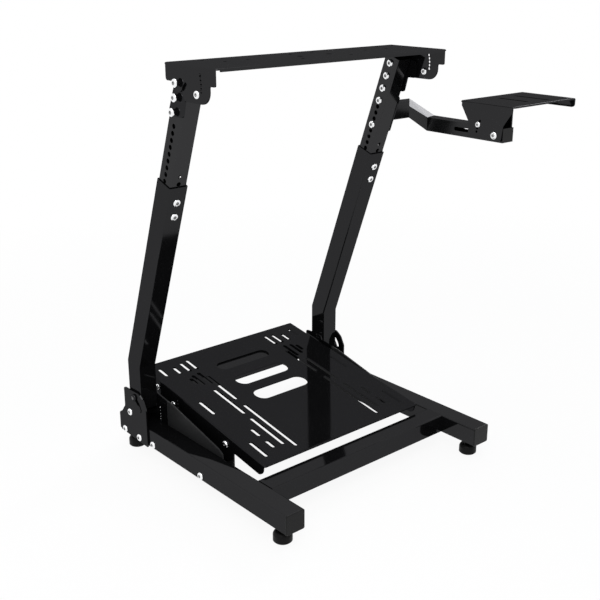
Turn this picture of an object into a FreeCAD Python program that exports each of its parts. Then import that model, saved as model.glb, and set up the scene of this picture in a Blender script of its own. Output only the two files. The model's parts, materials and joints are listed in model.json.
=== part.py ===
import FreeCAD, Part
import math
import os

# A folding stand for a steering wheel, a set of pedals and a shifter. Lengths are in millimetres, angles in
# degrees. The origin is on the floor, midway between the two rails and in line with their front ends, where
# the driver sits. X points to the driver's right, Y away from the driver and Z up.

# Base rails and the tube that joins them
rail_spread = 500.0
rail_length = 505.0
rail_width = 39.0
rail_height = 36.0
rail_wall = 2.0
rail_underside = 29.0
rail_corner_radius = 3.0
rail_cap_thickness = 2.0
rail_cap_rounding = 1.0
rail_plug_depth = 12.0
rail_plug_wall = 2.0
plug_clearance = 0.2
cross_tube_front = 81.5
cross_tube_depth = 39.0
cross_tube_wall = 2.0

# Rubber feet on threaded studs
foot_radius = 16.4
foot_sole_radius = 14.4
foot_side_height = 12.0
foot_height = 19.5
foot_neck_radius = 9.0
foot_shoulder_out = 0.78
foot_shoulder_up = 0.62
foot_inset_side = 18.3
foot_inset_end = 31.0
foot_stud_radius = 5.0
foot_stud_top = 33.5
foot_nut_flats = 16.0
foot_nut_height = 6.0

# Fasteners
bolt_radius = 4.0
bolt_head_radius = 7.0
bolt_head_height = 3.8
bolt_head_rim = 1.0
bolt_head_flat_radius = 3.4
bolt_socket_flats = 5.0
bolt_socket_depth = 2.4
bolt_dome_angle = 52.0
bolt_dome_fullness = 1.05
nut_flats = 13.0
nut_height = 6.5
bolt_clearance = 0.25
pin_clearance = 0.06
slide_gap = 0.3
small_bolt_radius = 3.0
small_head_radius = 5.5
small_head_height = 3.2

# Hinge plates that carry the uprights. Insets count from the rear end of the rails, offsets and lifts from
# the fold pivot.
plate_thickness = 3.0
fold_pivot_inset = 48.0
fold_pivot_lift = 17.0
washer_radius = 8.0
hinge_plate_front_offset = 55.0
hinge_plate_bottom = 27.5
hinge_plate_top_lift = 47.5
hinge_shoulder_offset = 45.0
hinge_shoulder_drop = 9.0
hinge_crown_offset = 31.0
hinge_brow_lift = 20.0
hinge_back_offset = 20.0
hinge_toe_reach = 18.0
inner_crown_offset = 27.0
hinge_bolt_offsets = (-28.5, 22.0)
rail_bolt_z = 38.5
inner_plate_front_offset = 61.5
inner_shoulder_lift = 31.6
inner_shoulder_rise = 4.9
rail_bolt_offsets = (-223.5, -70.5)
fold_slot_radius = 38.9
fold_slot_start = 115.0
fold_range = 42.0
fold_slot_clearance = 0.5

# Uprights. Distances along the lean count from the rim of the lower tube.
upright_width = 37.0
upright_depth = 39.0
upright_wall = 1.7
upright_corner_radius = 2.5
upright_foot_front_offset = 32.0
upright_bend_z = 180.2
upright_lean = 20.0
upright_rim = 407.6
upright_foot_clearance = 5.0
clamp_bolt_drop = (28.4, 56.1)
upper_tube_width = 33.0
upper_tube_depth = 34.0
upper_tube_wall = 1.6
upper_tube_corner_radius = 2.0
upper_tube_overlap = 90.0
upper_tube_reach = 192.4
hole_row_reach = 4.4
hole_pitch = 12.5
hole_row_count = 15
front_holes = ((5.2, 4.2), (19.0, 3.4))
mount_bolt_steps = (4, 8)
bracket_bolt_steps = (10, 12)
tilt_pivot_step = 14

# Wheel plate and the brackets it tilts on. Drops count from its top, insets from its front or rear edge.
sheet_thickness = 3.0
sheet_bend_radius = 2.5
sheet_corner_radius = 4.0
tilt_pivot_drop = 28.9
wheel_reach_front = 100.7
wheel_reach_rear = 37.3
wheel_flange_inset = 4.0
wheel_flange_drop = 27.5
wheel_lip_drop = 5.5
wheel_lip_inset = 6.0
wheel_lobe_drop = 55.8
wheel_lobe_round = 20.0
wheel_lobe_front_inset = 18.5
wheel_lobe_rear_inset = 50.0
tilt_ear_radius = 14.0
tilt_lock_inset = 49.8
tilt_lock_drop = 42.2
tilt_lock_head_radius = 6.6
tilt_hole_radius = 2.7
tilt_hole_count = 5
tilt_hole_first = 7.5
tilt_hole_step = 5.6
tilt_hole_circle = 62.0
tilt_slot_offsets = ((-14.5, -7.5), (-21.0, -1.0))
tilt_slot_width = 7.0
bracket_front_offset = 34.0
bracket_shield_lift = 5.0
bracket_foot_drop = 54.0
bracket_foot_front_offset = 5.0
bracket_foot_rear_offset = 31.5
bracket_spacer_length = 5.0
bracket_spacer_radius = 5.0
wheel_hole_radius = 3.25
wheel_centre_hole_radius = 5.0
wheel_holes = ((195.0, 21.0), (179.0, 60.0), (131.0, 56.0), (24.0, 34.0), (53.0, 101.0))
wheel_centre_holes = ((32.0, 69.0),)

# Shifter arm on the right upright
arm_mount_reach = 11.0
stub_reach = 42.0
stub_mitre = 29.0
stub_offset = 21.6
stub_depth = 28.0
stub_height = 31.5
bend_height = 22.2
stub_lift = 7.7
arm_tube_height = 26.0
arm_tube_wall = 2.0
arm_offset = 76.0
arm_width = 30.0
arm_drop = 26.84
arm_rear_offset = 17.0
arm_mitre = 8.5
arm_length = 184.0
arm_cap_thickness = 2.0
arm_plug_depth = 6.0
arm_slot_height = 7.4
arm_slot_inset = 14.7
arm_slot_spare = 7.0
slide_travel = 60.0
guide_pin_spacing = 30.0
guide_pin_reach = 6.0
shifter_bolt_radius = 3.5
carriage_thickness = 3.0
carriage_height = 38.0
carriage_shoulder = 24.0
carriage_margin = 11.0

# Shifter platform. Its front and rear count from the pivot, and its height from the pivot to the top.
platform_lift = 55.5
platform_front_reach = 41.0
platform_rear_reach = 83.3
platform_width = 180.0
platform_lip_drop = 17.0
platform_lip_round = 6.0
platform_edge_height = 9.0
cheek_middle = 24.0
cheek_half_width = 37.0
cheek_shoulder_lift = 18.0
cheek_drop = 11.0
far_cheek_inset = 4.0
platform_lock_circle = 41.0
platform_lock_angle = 22.0
platform_hole_angles = (33.0, 12.0, 3.0)
platform_hole_radius = 2.4
platform_slot_width = 7.0
platform_slots = ((70.0, 28.0, 95.0), (120.0, 18.0, 98.0))

# Pedal plate. Lengths along it count from its front edge, or from its rear edge where they are negative.
pedal_side_gap = 18.0
pedal_length = 386.0
pedal_tilt = 9.16
pedal_front_offset = 328.9
pedal_front_lift = 13.5
pedal_flange_drop = 23.5
pedal_flange_round = 12.0
pedal_wing_inset = 4.0
pedal_wing_nose = ((86.0, -23.5, 2.0), (85.5, -34.0, 8.0), (99.0, -47.5, 8.0), (118.0, -52.0, 8.0),
                   (131.0, -43.5, 8.0))
pedal_wing_rear = -46.0
pedal_wing_rear_drop = 27.0
pedal_pivot_offset = 110.9
pedal_pivot_lift = -0.5
pedal_lock_offset = 274.9
pedal_lock_lift = 19.5
pedal_rear_bolt_offset = 327.9
pedal_rear_bolt_lift = 37.5
pedal_hole_offset = 38.5
pedal_hole_lift = 12.0
pedal_hole_count = 6
pedal_hole_pitch = 7.0
pedal_hole_radius = 2.7
pedal_bracket_front = 17.0
pedal_bracket_rear = 216.0
pedal_bracket_seat_rear = 155.5
pedal_bracket_rise = 3.0
pedal_bracket_seat_tip = 5.0
pedal_bracket_seat_slope = 13.5
pedal_bracket_seat_flat = 17.0
pedal_bracket_nose = 12.0
pedal_bracket_height = 51.0
pedal_bracket_toe = 12.0
pedal_eye_radius = 9.5
pedal_slot_width = 7.4
pedal_slot_columns = (
    (23.0, ((-53.0, -22.0), (-209.0, -160.0), (22.0, 72.0))),
    (51.0, ((-60.0, -32.0), (78.0, 104.0), (37.0, 61.0))),
    (72.0, ((-62.0, -24.0), (-236.0, -139.0), (36.0, 133.0))),
    (89.0, ((-62.0, -20.0), (-189.0, -92.0), (20.0, -211.0))),
    (55.0, ((-107.0, -84.0),)),
    (65.0, ((-117.0, -76.0),)),
    (80.0, ((-121.0, -73.0),)),
)
pedal_cutouts = ((-91.0, -63.0), (-156.0, -120.0), (-217.0, -180.0))
pedal_cutout_half_length = 63.0
support_tube_rear = 53.0
support_tube_depth = 37.0
support_tube_height = 31.0
support_tube_wall = 1.6

# Places across the stand that follow from the sizes above
rail_outer = rail_spread / 2
rail_inner = rail_outer - rail_width
rail_top = rail_underside + rail_height
rail_middle = rail_outer - rail_width / 2
outer_plate_face = rail_outer + plate_thickness
inner_plate_face = rail_inner - plate_thickness
upright_outer = rail_middle + upright_width / 2
upright_inner = rail_middle - upright_width / 2
tube_outer = rail_middle + upper_tube_width / 2
tube_inner = rail_middle - upper_tube_width / 2
bracket_face = tube_outer + plate_thickness
wheel_flange_inner = bracket_face + slide_gap
wheel_half_width = wheel_flange_inner + sheet_thickness
pedal_half_width = inner_plate_face - pedal_side_gap
pedal_wing_inner = pedal_half_width - sheet_thickness
pedal_eye_outer = pedal_wing_inner - slide_gap
pedal_eye_inner = pedal_eye_outer - plate_thickness
stub_end = bracket_face + stub_reach
arm_left = bracket_face + arm_offset
carriage_right = arm_left - slide_gap
carriage_left = carriage_right - carriage_thickness
near_right = carriage_left - slide_gap
near_left = near_right - sheet_thickness
far_left = arm_left + arm_width + slide_gap
far_right = far_left + sheet_thickness
platform_right = arm_left + platform_width

# Places along the base
fold_pivot_y = rail_length - fold_pivot_inset
fold_pivot_z = rail_top + fold_pivot_lift
hinge_bolt_y = tuple(fold_pivot_y + offset for offset in hinge_bolt_offsets)
rail_bolt_y = tuple(fold_pivot_y + offset for offset in rail_bolt_offsets)
hinge_plate_front = fold_pivot_y - hinge_plate_front_offset
hinge_plate_top = fold_pivot_z + hinge_plate_top_lift
inner_plate_front = fold_pivot_y - inner_plate_front_offset
inner_shoulder_z = fold_pivot_z + inner_shoulder_lift
pedal_front_y = fold_pivot_y - pedal_front_offset
pedal_front_z = rail_top + pedal_front_lift
pedal_pivot_y = pedal_front_y + pedal_pivot_offset
pedal_pivot_z = pedal_front_z + pedal_pivot_lift
wing_bolt_places = ((pedal_front_y + pedal_lock_offset, pedal_front_z + pedal_lock_lift),
                    (pedal_front_y + pedal_rear_bolt_offset, pedal_front_z + pedal_rear_bolt_lift))
pedal_bracket_bottom = rail_underside + pedal_bracket_rise

# Places along the lean, which passes through the front bend of the foot. They count from the origin.
lean_sine = math.sin(math.radians(upright_lean))
lean_cosine = math.cos(math.radians(upright_lean))
upright_foot_front = fold_pivot_y - upright_foot_front_offset
front_across = upright_foot_front * lean_cosine + upright_bend_z * lean_sine
row_across = front_across + upright_depth / 2
tube_front_across = row_across - upper_tube_depth / 2
upper_tube_top = upright_rim + upper_tube_reach
row_distances = [upright_rim + hole_row_reach + hole_pitch * step for step in range(hole_row_count)]

X_AXIS = FreeCAD.Vector(1, 0, 0)
Y_AXIS = FreeCAD.Vector(0, 1, 0)
Z_AXIS = FreeCAD.Vector(0, 0, 1)
BOTH_SIDES = (("left", -1), ("right", 1))


def vector(x, y, z):
    return FreeCAD.Vector(x, y, z)


def box(x0, x1, y0, y1, z0, z1):
    """A block between two corners, given in any order."""
    low = vector(min(x0, x1), min(y0, y1), min(z0, z1))
    return Part.makeBox(abs(x1 - x0), abs(y1 - y0), abs(z1 - z0), low)


def rounded_wire(points, radii):
    """A closed outline through the points, with each corner rounded to its radius."""
    edges = []
    ends = []
    count = len(points)
    for index in range(count):
        corner = points[index]
        radius = radii[index]
        back = (points[index - 1] - corner).normalize()
        ahead = (points[(index + 1) % count] - corner).normalize()
        if radius <= 0:
            ends.append((corner, corner, None))
            continue
        half_angle = math.acos(max(-1.0, min(1.0, back.dot(ahead)))) / 2
        reach = radius / math.tan(half_angle)
        bisector = (back + ahead).normalize()
        centre = corner + bisector * (radius / math.sin(half_angle))
        ends.append((corner + back * reach, corner + ahead * reach, centre - bisector * radius))
    for index in range(count):
        start, finish, middle = ends[index]
        if middle is not None:
            edges.append(Part.Arc(start, middle, finish).toShape())
        following = ends[(index + 1) % count][0]
        if finish.distanceToPoint(following) > 1e-6:
            edges.append(Part.makeLine(finish, following))
    return Part.Wire(edges)


def side_plate(outline, x0, x1, radius=0.0):
    """A plate square to X. The outline holds (y, z) or (y, z, corner radius) points."""
    points = [vector(min(x0, x1), p[0], p[1]) for p in outline]
    radii = [p[2] if len(p) > 2 else radius for p in outline]
    face = Part.Face(rounded_wire(points, radii))
    return face.extrude(vector(abs(x1 - x0), 0, 0))


def level_plate(outline, z0, z1, radius=0.0):
    """A plate square to Z. The outline holds (x, y) or (x, y, corner radius) points."""
    points = [vector(p[0], p[1], z0) for p in outline]
    radii = [p[2] if len(p) > 2 else radius for p in outline]
    face = Part.Face(rounded_wire(points, radii))
    return face.extrude(vector(0, 0, z1 - z0))


def round_long_edges(body, direction, radius):
    """Rounds the straight edges of a tube or bar that run along a direction."""
    edges = [edge for edge in body.Edges
             if abs(edge.tangentAt(edge.FirstParameter).dot(direction)) > 0.99 and edge.Length > 4 * radius]
    return body.makeFillet(radius, edges)


def round_top_outline(sheet, top, radius):
    """Rounds the whole outline of a folded sheet's top, where its sides turn down."""
    edges = [edge for edge in sheet.Edges
             if abs(edge.BoundBox.ZMin - top) < 1e-3 and abs(edge.BoundBox.ZMax - top) < 1e-3]
    return sheet.makeFillet(radius, edges)


def rod(x0, x1, y, z, radius):
    """A round bar along X."""
    return Part.makeCylinder(radius, abs(x1 - x0), vector(min(x0, x1), y, z), X_AXIS)


def sleeve(x0, x1, y, z, inner_radius, outer_radius):
    return rod(x0, x1, y, z, outer_radius).cut(rod(x0, x1, y, z, inner_radius))


def side_slot(x0, x1, y0, y1, z, width):
    """A slot through a plate square to X, with round ends centred at y0 and y1."""
    radius = width / 2
    middle = box(x0, x1, y0, y1, z - radius, z + radius)
    return middle.fuse([rod(x0, x1, y0, z, radius), rod(x0, x1, y1, z, radius)])


def sloping_slot(x0, x1, start, finish, width):
    """A straight sloping slot through a plate square to X, with round ends centred at two (y, z) places."""
    length = math.dist(start, finish)
    slot = side_slot(x0, x1, 0, length, 0, width)
    slope = math.degrees(math.atan2(finish[1] - start[1], finish[0] - start[0]))
    slot.rotate(vector(0, 0, 0), X_AXIS, slope)
    slot.translate(vector(0, start[0], start[1]))
    return slot


def level_slot(x, y0, y1, z0, z1, width):
    """A slot along Y through a plate square to Z, measured over its round ends."""
    radius = width / 2
    middle = box(x - radius, x + radius, y0 + radius, y1 - radius, z0, z1)
    ends = [Part.makeCylinder(radius, z1 - z0, vector(x, y, z0)) for y in (y0 + radius, y1 - radius)]
    return middle.fuse(ends)


def arc_slot(x0, x1, centre_y, centre_z, circle, start, sweep, width):
    """A curved slot through a plate square to X. Angles run from +Y towards +Z."""
    radius = width / 2
    ring = sleeve(x0, x1, centre_y, centre_z, circle - radius, circle + radius)
    reach = 2 * circle
    corners = [(centre_y, centre_z)]
    for share in (0.0, 0.5, 1.0):
        angle = math.radians(start + sweep * share)
        corners.append((centre_y + reach * math.cos(angle), centre_z + reach * math.sin(angle)))
    band = ring.common(side_plate(corners, x0, x1))
    ends = []
    for angle in (start, start + sweep):
        y = centre_y + circle * math.cos(math.radians(angle))
        z = centre_z + circle * math.sin(math.radians(angle))
        ends.append(rod(x0, x1, y, z, radius))
    return band.fuse(ends)


def on_circle(centre_y, centre_z, circle, angle):
    turn = math.radians(angle)
    return centre_y + circle * math.cos(turn), centre_z + circle * math.sin(turn)


def hexagon(flats, height, base, direction):
    """A six-sided bar that starts at base and runs along direction."""
    radius = flats / math.sqrt(3)
    corners = [vector(radius * math.cos(math.radians(60 * n)), radius * math.sin(math.radians(60 * n)), 0)
               for n in range(6)]
    bar = Part.Face(Part.makePolygon(corners + corners[:1])).extrude(vector(0, 0, height))
    bar.Placement = FreeCAD.Placement(base, FreeCAD.Rotation(Z_AXIS, direction))
    return bar


def bolt(seat, outward, length, radius=bolt_radius, head_radius=bolt_head_radius,
         head_height=bolt_head_height):
    """A button-head bolt. The head stands on the seat, towards outward, and the shank runs the other way."""
    rim = bolt_head_rim
    flat = head_radius * bolt_head_flat_radius / bolt_head_radius
    dome = math.radians(bolt_dome_angle)
    shoulder_x = flat + (head_radius - flat) * math.sin(dome)
    shoulder_z = rim + (head_height - rim) * math.cos(dome) * bolt_dome_fullness
    profile = [
        Part.makeLine(vector(0, 0, -length), vector(radius, 0, -length)),
        Part.makeLine(vector(radius, 0, -length), vector(radius, 0, 0)),
        Part.makeLine(vector(radius, 0, 0), vector(head_radius, 0, 0)),
        Part.makeLine(vector(head_radius, 0, 0), vector(head_radius, 0, rim)),
        Part.Arc(vector(head_radius, 0, rim), vector(shoulder_x, 0, shoulder_z),
                 vector(flat, 0, head_height)).toShape(),
        Part.makeLine(vector(flat, 0, head_height), vector(0, 0, head_height)),
        Part.makeLine(vector(0, 0, head_height), vector(0, 0, -length)),
    ]
    body = Part.Face(Part.Wire(profile)).revolve(vector(0, 0, 0), Z_AXIS, 360)
    flats = bolt_socket_flats * head_radius / bolt_head_radius
    depth = bolt_socket_depth * head_height / bolt_head_height
    body = body.cut(hexagon(flats, depth + 1, vector(0, 0, head_height - depth), Z_AXIS))
    body.Placement = FreeCAD.Placement(seat, FreeCAD.Rotation(Z_AXIS, outward))
    return body


def nut(seat, outward, radius=bolt_radius, flats=nut_flats, height=nut_height):
    """A nut that stands on the seat, towards outward, round a shank of the radius."""
    hole = Part.makeCylinder(radius + pin_clearance, height, seat, outward)
    return hexagon(flats, height, seat, outward).cut(hole)


def along_upright(distance, across):
    """The (y, z) of a place given along the lean and across it, towards the back."""
    y = across * lean_cosine - distance * lean_sine
    z = across * lean_sine + distance * lean_cosine
    return y, z


def save(node, *solids):
    """One file for a node. Several pieces in it stay separate solids."""
    for solid in solids:
        if not solid.isValid() or solid.Volume <= 0:
            raise ValueError("bad solid in " + node)
    shape = solids[0] if len(solids) == 1 else Part.makeCompound(list(solids))
    shape.exportStep("parts/" + node + ".step")


# Places of the wheel plate and the shifter, which hang on the row of holes
tilt_pivot_y, tilt_pivot_z = along_upright(row_distances[tilt_pivot_step], row_across)
wheel_plate_top = tilt_pivot_z + tilt_pivot_drop
wheel_plate_front = tilt_pivot_y - wheel_reach_front
wheel_plate_rear = tilt_pivot_y + wheel_reach_rear
wheel_lobe_bottom = wheel_plate_top - wheel_lobe_drop
wheel_lobe_front = wheel_plate_front + wheel_lobe_front_inset
wheel_lobe_rear = wheel_plate_rear - wheel_lobe_rear_inset
tilt_lock_y = wheel_plate_front + tilt_lock_inset
tilt_lock_z = wheel_plate_top - tilt_lock_drop
stub_y, stub_z = along_upright(row_distances[min(mount_bolt_steps)], row_across)
stub_front = stub_y - stub_offset
stub_bottom = stub_z + stub_lift
arm_bottom = stub_bottom - arm_drop
arm_rear = stub_front - arm_rear_offset
arm_front = arm_rear - arm_length
arm_slot_front = arm_front + arm_slot_inset
pivot_z = arm_bottom + arm_tube_height / 2
platform_top = pivot_z + platform_lift
platform_front = arm_slot_front - platform_front_reach
platform_rear = arm_slot_front + platform_rear_reach
platform_foot_z = pivot_z - cheek_drop


def rail(side):
    outer = side * rail_outer
    inner = side * rail_inner
    y0 = rail_cap_thickness
    y1 = rail_length - rail_cap_thickness
    body = box(outer, inner, y0, y1, rail_underside, rail_top)
    body = round_long_edges(body, Y_AXIS, rail_corner_radius)
    hollow = box(outer - side * rail_wall, inner + side * rail_wall, y0, y1,
                 rail_underside + rail_wall, rail_top - rail_wall)
    body = body.cut(hollow)
    holes = []
    for y in hinge_bolt_y + rail_bolt_y:
        holes.append(rod(outer, inner, y, rail_bolt_z, bolt_radius + bolt_clearance))
    for y in (foot_inset_end, rail_length - foot_inset_end):
        base = vector(side * (rail_outer - foot_inset_side), y, rail_underside)
        holes.append(Part.makeCylinder(foot_stud_radius + bolt_clearance, 2 * rail_wall, base))
    return body.cut(holes)


def rail_caps(side):
    """Plastic end covers, each with a hollow plug that enters the rail."""
    outer = side * rail_outer
    inner = side * rail_inner
    gap = side * (rail_wall + plug_clearance)
    plug_low = rail_underside + rail_wall + plug_clearance
    plug_high = rail_top - rail_wall - plug_clearance
    caps = []
    for end, inward in ((0.0, 1), (rail_length, -1)):
        seat = end + inward * rail_cap_thickness
        cover = box(outer, inner, end, seat, rail_underside, rail_top)
        long_edges = [edge for edge in cover.Edges if abs(edge.tangentAt(edge.FirstParameter).y) > 0.9]
        cover = cover.makeFillet(rail_corner_radius, long_edges)
        face = [edge for edge in cover.Edges
                if abs(edge.BoundBox.YMax - end) + abs(edge.BoundBox.YMin - end) < 1e-3]
        cover = cover.makeFillet(rail_cap_rounding, face)
        tip = seat + inward * rail_plug_depth
        plug = box(outer - gap, inner + gap, seat, tip, plug_low, plug_high)
        wall = side * rail_plug_wall
        core = box(outer - gap - wall, inner + gap + wall, seat, tip,
                   plug_low + rail_plug_wall, plug_high - rail_plug_wall)
        caps.append(cover.fuse(plug.cut(core)).removeSplitter())
    return caps


def foot(side, y):
    """A rubber bun on a threaded stud, with the nut that locks it under the rail."""
    x = side * (rail_outer - foot_inset_side)
    edge_height = foot_radius - foot_sole_radius
    shoulder_x = foot_neck_radius + (foot_radius - foot_neck_radius) * foot_shoulder_out
    shoulder_z = foot_side_height + (foot_height - foot_side_height) * foot_shoulder_up
    profile = [
        Part.makeLine(vector(0, 0, 0), vector(foot_sole_radius, 0, 0)),
        Part.makeLine(vector(foot_sole_radius, 0, 0), vector(foot_radius, 0, edge_height)),
        Part.makeLine(vector(foot_radius, 0, edge_height), vector(foot_radius, 0, foot_side_height)),
        Part.Arc(vector(foot_radius, 0, foot_side_height), vector(shoulder_x, 0, shoulder_z),
                 vector(foot_neck_radius, 0, foot_height)).toShape(),
        Part.makeLine(vector(foot_neck_radius, 0, foot_height), vector(0, 0, foot_height)),
        Part.makeLine(vector(0, 0, foot_height), vector(0, 0, 0)),
    ]
    bun = Part.Face(Part.Wire(profile)).revolve(vector(0, 0, 0), Z_AXIS, 360)
    bun.translate(vector(x, y, 0))
    stud = Part.makeCylinder(foot_stud_radius, foot_stud_top - foot_height, vector(x, y, foot_height))
    lock = hexagon(foot_nut_flats, foot_nut_height, vector(x, y, rail_underside - foot_nut_height), Z_AXIS)
    return bun.fuse([stud, lock])


def cross_tube():
    outer = box(-rail_inner, rail_inner, cross_tube_front, cross_tube_front + cross_tube_depth,
                rail_underside, rail_top)
    outer = round_long_edges(outer, X_AXIS, rail_corner_radius)
    wall = cross_tube_wall
    rear = cross_tube_front + cross_tube_depth
    hollow = box(-rail_inner, rail_inner, cross_tube_front + wall, rear - wall,
                 rail_underside + wall, rail_top - wall)
    return outer.cut(hollow)


def fold_slot(x0, x1):
    width = 2 * (bolt_radius + fold_slot_clearance)
    return arc_slot(x0, x1, fold_pivot_y, fold_pivot_z, fold_slot_radius, fold_slot_start, fold_range,
                    width)


def hinge_plate_back():
    """The stepped rear edge that the inner and the outer plate share, from the bottom up."""
    back = fold_pivot_y + hinge_back_offset
    toe = hinge_bolt_y[1] + hinge_toe_reach
    return [(toe, hinge_plate_bottom + 4.5, 5), (toe - 3, rail_top + 2, 8),
            (back, fold_pivot_z + 6.5, 4), (back, hinge_plate_top - 2, 4)]


def outer_hinge_plate(side):
    x0 = side * rail_outer
    x1 = side * outer_plate_face
    outline = [(hinge_plate_front, hinge_plate_bottom, 2)] + hinge_plate_back()
    outline += [(fold_pivot_y - hinge_crown_offset, hinge_plate_top, 8),
                (fold_pivot_y - hinge_shoulder_offset, hinge_plate_top - hinge_shoulder_drop, 10),
                (hinge_plate_front, fold_pivot_z + hinge_brow_lift, 12)]
    plate = side_plate(outline, x0, x1)
    holes = [rod(x0, x1, fold_pivot_y, fold_pivot_z, bolt_radius + pin_clearance), fold_slot(x0, x1)]
    holes += [rod(x0, x1, y, rail_bolt_z, bolt_radius + bolt_clearance) for y in hinge_bolt_y]
    return plate.cut(holes)


def inner_hinge_plate(side):
    """The plate on the rail's inner side. Its column of holes gives the pedal plate's angles."""
    x0 = side * rail_inner
    x1 = side * inner_plate_face
    outline = [(inner_plate_front, rail_underside + 1, 2)] + hinge_plate_back()
    crown = fold_pivot_y - inner_crown_offset
    outline += [(crown, hinge_plate_top, 4), (crown - 3, inner_shoulder_z + inner_shoulder_rise, 3),
                (inner_plate_front, inner_shoulder_z, 0)]
    plate = side_plate(outline, x0, x1)
    holes = [rod(x0, x1, fold_pivot_y, fold_pivot_z, bolt_radius + pin_clearance)]
    for y in hinge_bolt_y:
        holes.append(rod(x0, x1, y, rail_bolt_z, bolt_radius + bolt_clearance))
    for step in range(pedal_hole_count):
        z = fold_pivot_z + pedal_hole_lift - step * pedal_hole_pitch
        holes.append(rod(x0, x1, fold_pivot_y - pedal_hole_offset, z, pedal_hole_radius))
    return plate.cut(holes)


def pedal_bracket(side):
    """A folded sheet: a seat on the rail's inner side, a web, and a wall with the pedal plate's pivot.

    The seat stands above the rail, with a sloping top that ends level with the inner hinge plate's shoulder.
    """
    front = pedal_pivot_y - pedal_bracket_front
    rear = pedal_pivot_y + pedal_bracket_rear
    seat_rear = pedal_pivot_y + pedal_bracket_seat_rear
    low = pedal_bracket_bottom
    top = low + pedal_bracket_height
    slope_rear = seat_rear - pedal_bracket_seat_flat
    slope_z = inner_shoulder_z - 2
    tip = front + pedal_bracket_nose
    tip_z = slope_z - (slope_rear - tip) * math.tan(math.radians(pedal_bracket_seat_slope))
    tip_top = rail_top + pedal_bracket_seat_tip
    seat = side_plate([(front, low, 0), (seat_rear, low, 0), (seat_rear, inner_shoulder_z, 0),
                       (slope_rear, slope_z, 10), (tip, tip_z, 5), (front, tip_top, 3)],
                      side * rail_inner, side * inner_plate_face)
    web = box(side * rail_inner, side * pedal_eye_inner, front, seat_rear, low, low + plate_thickness)
    x0 = side * pedal_eye_outer
    x1 = side * pedal_eye_inner
    wall = side_plate([(front, low, 0), (seat_rear, low, 0), (rear, low + pedal_bracket_toe, 8),
                       (rear, top, 8), (front, top, 12)], x0, x1)
    eye = rod(x0, x1, pedal_pivot_y, pedal_pivot_z, pedal_eye_radius)
    bracket = wall.fuse([web, seat, eye]).removeSplitter()
    holes = [rod(x0, x1, pedal_pivot_y, pedal_pivot_z, bolt_radius + pin_clearance)]
    for y in rail_bolt_y:
        radius = bolt_radius + bolt_clearance
        holes.append(rod(side * rail_inner, side * inner_plate_face, y, rail_bolt_z, radius))
    return bracket.cut(holes)


def rail_bolts():
    """Bolts through the rails. They end flush with the inner plates, which are tapped for them."""
    bolts = []
    for _, side in BOTH_SIDES:
        outward = vector(side, 0, 0)
        for y in hinge_bolt_y:
            length = outer_plate_face - inner_plate_face
            bolts.append(bolt(vector(side * outer_plate_face, y, rail_bolt_z), outward, length))
        for y in rail_bolt_y:
            length = rail_outer - inner_plate_face
            bolts.append(bolt(vector(side * rail_outer, y, rail_bolt_z), outward, length))
    return bolts


def upright_pivot_bolts():
    """The hinge bolts of the uprights, with their nuts and the washers that centre the uprights."""
    pieces = []
    y = fold_pivot_y
    z = fold_pivot_z
    for _, side in BOTH_SIDES:
        outward = vector(side, 0, 0)
        length = outer_plate_face - inner_plate_face + nut_height
        pieces.append(bolt(vector(side * outer_plate_face, y, z), outward, length))
        pieces.append(nut(vector(side * inner_plate_face, y, z), vector(-side, 0, 0)))
        bore = bolt_radius + pin_clearance
        outer_end = upright_outer + slide_gap
        inner_end = upright_inner - slide_gap
        pieces.append(sleeve(side * rail_outer, side * outer_end, y, z, bore, washer_radius))
        pieces.append(sleeve(side * rail_inner, side * inner_end, y, z, bore, washer_radius))
    return pieces


def pedal_pivot_bolts():
    """The bolts that the pedal plate tilts on, from outside its wings to the walls of the brackets."""
    pieces = []
    y = pedal_pivot_y
    z = pedal_pivot_z
    for _, side in BOTH_SIDES:
        head_seat = pedal_half_width + slide_gap
        length = head_seat - pedal_eye_inner + nut_height
        pieces.append(bolt(vector(side * head_seat, y, z), vector(side, 0, 0), length))
        pieces.append(nut(vector(side * pedal_eye_inner, y, z), vector(-side, 0, 0)))
    return pieces


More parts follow.
